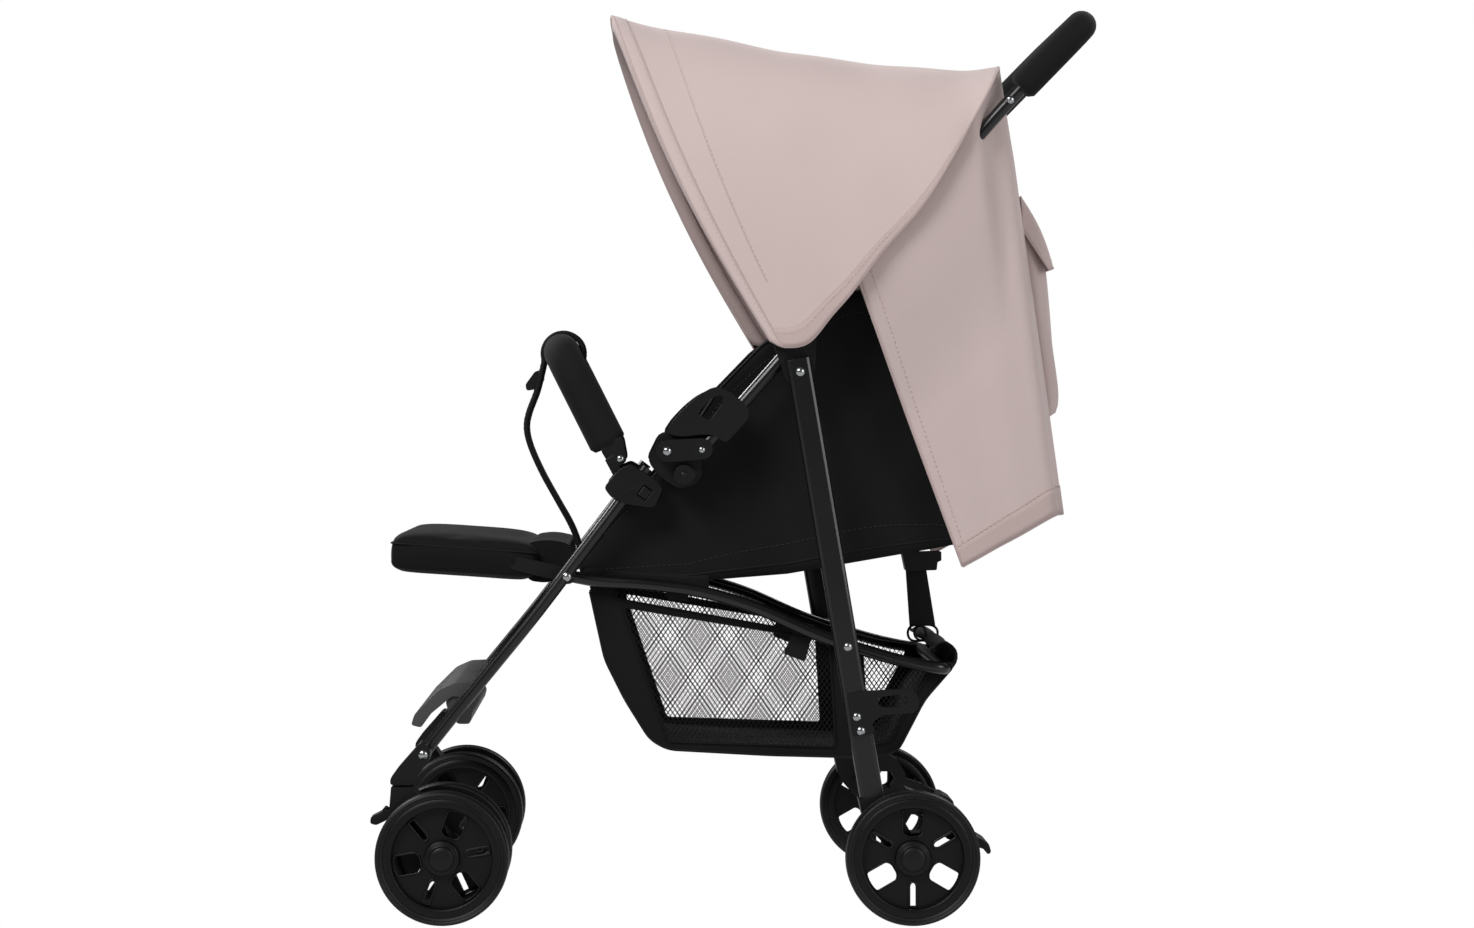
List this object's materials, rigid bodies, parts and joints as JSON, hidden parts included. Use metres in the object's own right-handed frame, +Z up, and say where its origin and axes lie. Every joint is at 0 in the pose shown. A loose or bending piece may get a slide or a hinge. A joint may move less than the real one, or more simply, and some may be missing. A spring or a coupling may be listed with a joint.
{
  "type": "stroller",
  "caption": "Folding stroller with swivelling twin front wheels, reclining seat, removable bumper bar, sun hood and open mesh basket.",
  "frame": {"origin": "on the floor, in the middle of the object's box", "axes": "+Z up; the front of the stroller is at -X, its left side at -Y"},
  "size_m": [0.8256, 0.505, 1.0412],
  "materials": {
    "steel": "satin black powder coat",
    "bright_steel": "zinc plated",
    "plastic": "fine moulded grain",
    "grey_plastic": "fine moulded grain",
    "tyre": "foamed polymer, matt",
    "foam": "closed cell foam",
    "pink_cloth": "plain woven polyester, dusty pink",
    "black_cloth": "woven polyester, black",
    "mesh_cloth": "open mesh and black polyester",
    "webbing": "black webbing"
  },
  "bodies": {
    "front_frame": {"front_leg_left": "steel", "front_leg_right": "steel", "hinge_lower_left": "plastic", "hinge_lower_right": "plastic", "bumper_socket_left": "plastic", "bumper_socket_right": "plastic", "front_foot_left": "plastic", "front_foot_right": "plastic", "footrest": "grey_plastic"},
    "handle": {"handle_tube": "steel", "handle_grip": "foam", "hinge_upper_left": "plastic", "hinge_upper_right": "plastic", "rear_leg_bracket_left": "plastic", "rear_leg_bracket_right": "plastic", "hood": "pink_cloth", "rear_drape": "pink_cloth", "pocket": "pink_cloth"},
    "hood_bow": {"hood_bow": "plastic"},
    "rear_frame": {"rear_leg_left": "steel", "rear_leg_right": "steel", "rear_housing_left": "plastic", "rear_housing_right": "plastic", "rear_axle": "bright_steel", "rear_cross_tube": "steel", "fold_catch": "plastic"},
    "seat_frame": {"seat_tube": "steel", "basket": "mesh_cloth", "seat_fabric": "black_cloth", "seat_cushion": "black_cloth", "recline_strap": "webbing"},
    "backrest": {"backrest": "black_cloth"},
    "legrest": {"legrest": "black_cloth"},
    "bumper": {"bumper_tube": "plastic", "bumper_foam": "foam", "crotch_strap": "webbing"},
    "bumper_button_left": {"bumper_button_left": "grey_plastic"},
    "fold_release_left": {"fold_release_left": "plastic"},
    "caster_left": {"caster_fork_left": "plastic", "front_axle_left": "bright_steel"},
    "swivel_lock_left": {"swivel_lock_left": "plastic"},
    "front_wheel_outer_left": {"front_outer_left_rim": "plastic", "front_outer_left_tyre": "tyre"},
    "front_wheel_inner_left": {"front_inner_left_rim": "plastic", "front_inner_left_tyre": "tyre"},
    "rear_wheel_left": {"rear_left_rim": "plastic", "rear_left_tyre": "tyre"},
    "brake_left": {"brake_left": "plastic"},
    "bumper_button_right": {"bumper_button_right": "grey_plastic"},
    "fold_release_right": {"fold_release_right": "plastic"},
    "caster_right": {"caster_fork_right": "plastic", "front_axle_right": "bright_steel"},
    "swivel_lock_right": {"swivel_lock_right": "plastic"},
    "front_wheel_outer_right": {"front_outer_right_rim": "plastic", "front_outer_right_tyre": "tyre"},
    "front_wheel_inner_right": {"front_inner_right_rim": "plastic", "front_inner_right_tyre": "tyre"},
    "rear_wheel_right": {"rear_right_rim": "plastic", "rear_right_tyre": "tyre"},
    "brake_right": {"brake_right": "plastic"}
  },
  "joints": [
    {"name": "fold", "type": "hinge", "parent": "front_frame", "child": "handle", "pos_m": [-0.0785, 0, 0.5286], "axis": [0, -1, 0], "range_deg": [0, 165], "deforming": ["seat_fabric", "hood", "hood_bow", "rear_drape", "crotch_strap", "recline_strap"]},
    {"name": "seat_fold", "type": "hinge", "parent": "front_frame", "child": "seat_frame", "pos_m": [-0.1916, 0, 0.386], "axis": [0, -1, 0], "range_deg": [0, 59.8]},
    {"name": "rear_leg_fold", "type": "hinge", "parent": "handle", "child": "rear_frame", "pos_m": [0.0708, 0, 0.6176], "axis": [0, -1, 0], "range_deg": [-59.4, 0]},
    {"name": "hood_fold", "type": "hinge", "parent": "handle", "child": "hood_bow", "pos_m": [0.067, 0, 0.656], "axis": [0, 1, 0], "range_deg": [0, 50]},
    {"name": "recline", "type": "hinge", "parent": "seat_frame", "child": "backrest", "pos_m": [-0.027, 0, 0.418], "axis": [0, 1, 0], "range_deg": [-55, 0]},
    {"name": "legrest_tilt", "type": "hinge", "parent": "front_frame", "child": "legrest", "pos_m": [-0.1916, 0, 0.386], "axis": [0, -1, 0], "range_deg": [0, 35]},
    {"name": "bumper_slide", "type": "slide", "parent": "front_frame", "child": "bumper", "axis": [-0.4675, 0, 0.884], "range_m": [0, 0.06]},
    {"name": "bumper_button_left", "type": "slide", "parent": "front_frame", "child": "bumper_button_left", "axis": [0, 1, 0], "range_m": [0, 0.0025], "stiffness_N_per_m": 300, "springref_m": -0.001},
    {"name": "fold_release_left", "type": "slide", "parent": "handle", "child": "fold_release_left", "axis": [0.6616, 0, 0.7498], "range_m": [0, 0.012], "stiffness_N_per_m": 300, "springref_m": -0.004},
    {"name": "caster_swivel_left", "type": "hinge", "parent": "front_frame", "child": "caster_left", "pos_m": [-0.3767, -0.1995, 0.15], "axis": [0, 0, 1], "continuous": true},
    {"name": "swivel_lock_left", "type": "hinge", "parent": "caster_left", "child": "swivel_lock_left", "pos_m": [-0.3965, -0.1995, 0.12], "axis": [0, 1, 0], "range_deg": [0, 25]},
    {"name": "front_wheel_outer_left", "type": "hinge", "parent": "caster_left", "child": "front_wheel_outer_left", "pos_m": [-0.3298, -0.2395, 0.075], "axis": [0, 1, 0], "continuous": true},
    {"name": "front_wheel_inner_left", "type": "hinge", "parent": "caster_left", "child": "front_wheel_inner_left", "pos_m": [-0.3298, -0.1595, 0.075], "axis": [0, 1, 0], "continuous": true},
    {"name": "rear_wheel_left", "type": "hinge", "parent": "rear_frame", "child": "rear_wheel_left", "pos_m": [0.1952, -0.2395, 0.075], "axis": [0, 1, 0], "continuous": true},
    {"name": "brake_left", "type": "hinge", "parent": "rear_frame", "child": "brake_left", "pos_m": [0.238, -0.21, 0.101], "axis": [0, 1, 0], "range_deg": [0, 18]},
    {"name": "bumper_button_right", "type": "slide", "parent": "front_frame", "child": "bumper_button_right", "axis": [0, -1, 0], "range_m": [0, 0.0025], "stiffness_N_per_m": 300, "springref_m": -0.001},
    {"name": "fold_release_right", "type": "slide", "parent": "handle", "child": "fold_release_right", "axis": [0.6616, 0, 0.7498], "range_m": [0, 0.012], "stiffness_N_per_m": 300, "springref_m": -0.004},
    {"name": "caster_swivel_right", "type": "hinge", "parent": "front_frame", "child": "caster_right", "pos_m": [-0.3767, 0.1995, 0.15], "axis": [0, 0, 1], "continuous": true},
    {"name": "swivel_lock_right", "type": "hinge", "parent": "caster_right", "child": "swivel_lock_right", "pos_m": [-0.3965, 0.1995, 0.12], "axis": [0, 1, 0], "range_deg": [0, 25]},
    {"name": "front_wheel_outer_right", "type": "hinge", "parent": "caster_right", "child": "front_wheel_outer_right", "pos_m": [-0.3298, 0.2395, 0.075], "axis": [0, 1, 0], "continuous": true},
    {"name": "front_wheel_inner_right", "type": "hinge", "parent": "caster_right", "child": "front_wheel_inner_right", "pos_m": [-0.3298, 0.1595, 0.075], "axis": [0, 1, 0], "continuous": true},
    {"name": "rear_wheel_right", "type": "hinge", "parent": "rear_frame", "child": "rear_wheel_right", "pos_m": [0.1952, 0.2395, 0.075], "axis": [0, 1, 0], "continuous": true},
    {"name": "brake_right", "type": "hinge", "parent": "rear_frame", "child": "brake_right", "pos_m": [0.238, 0.21, 0.101], "axis": [0, 1, 0], "range_deg": [0, 18]}
  ],
  "couplings": [
    {"joint": "seat_fold", "follows": "fold", "ratio": 0.3592},
    {"joint": "rear_leg_fold", "follows": "fold", "ratio": -0.35704}
  ]
}
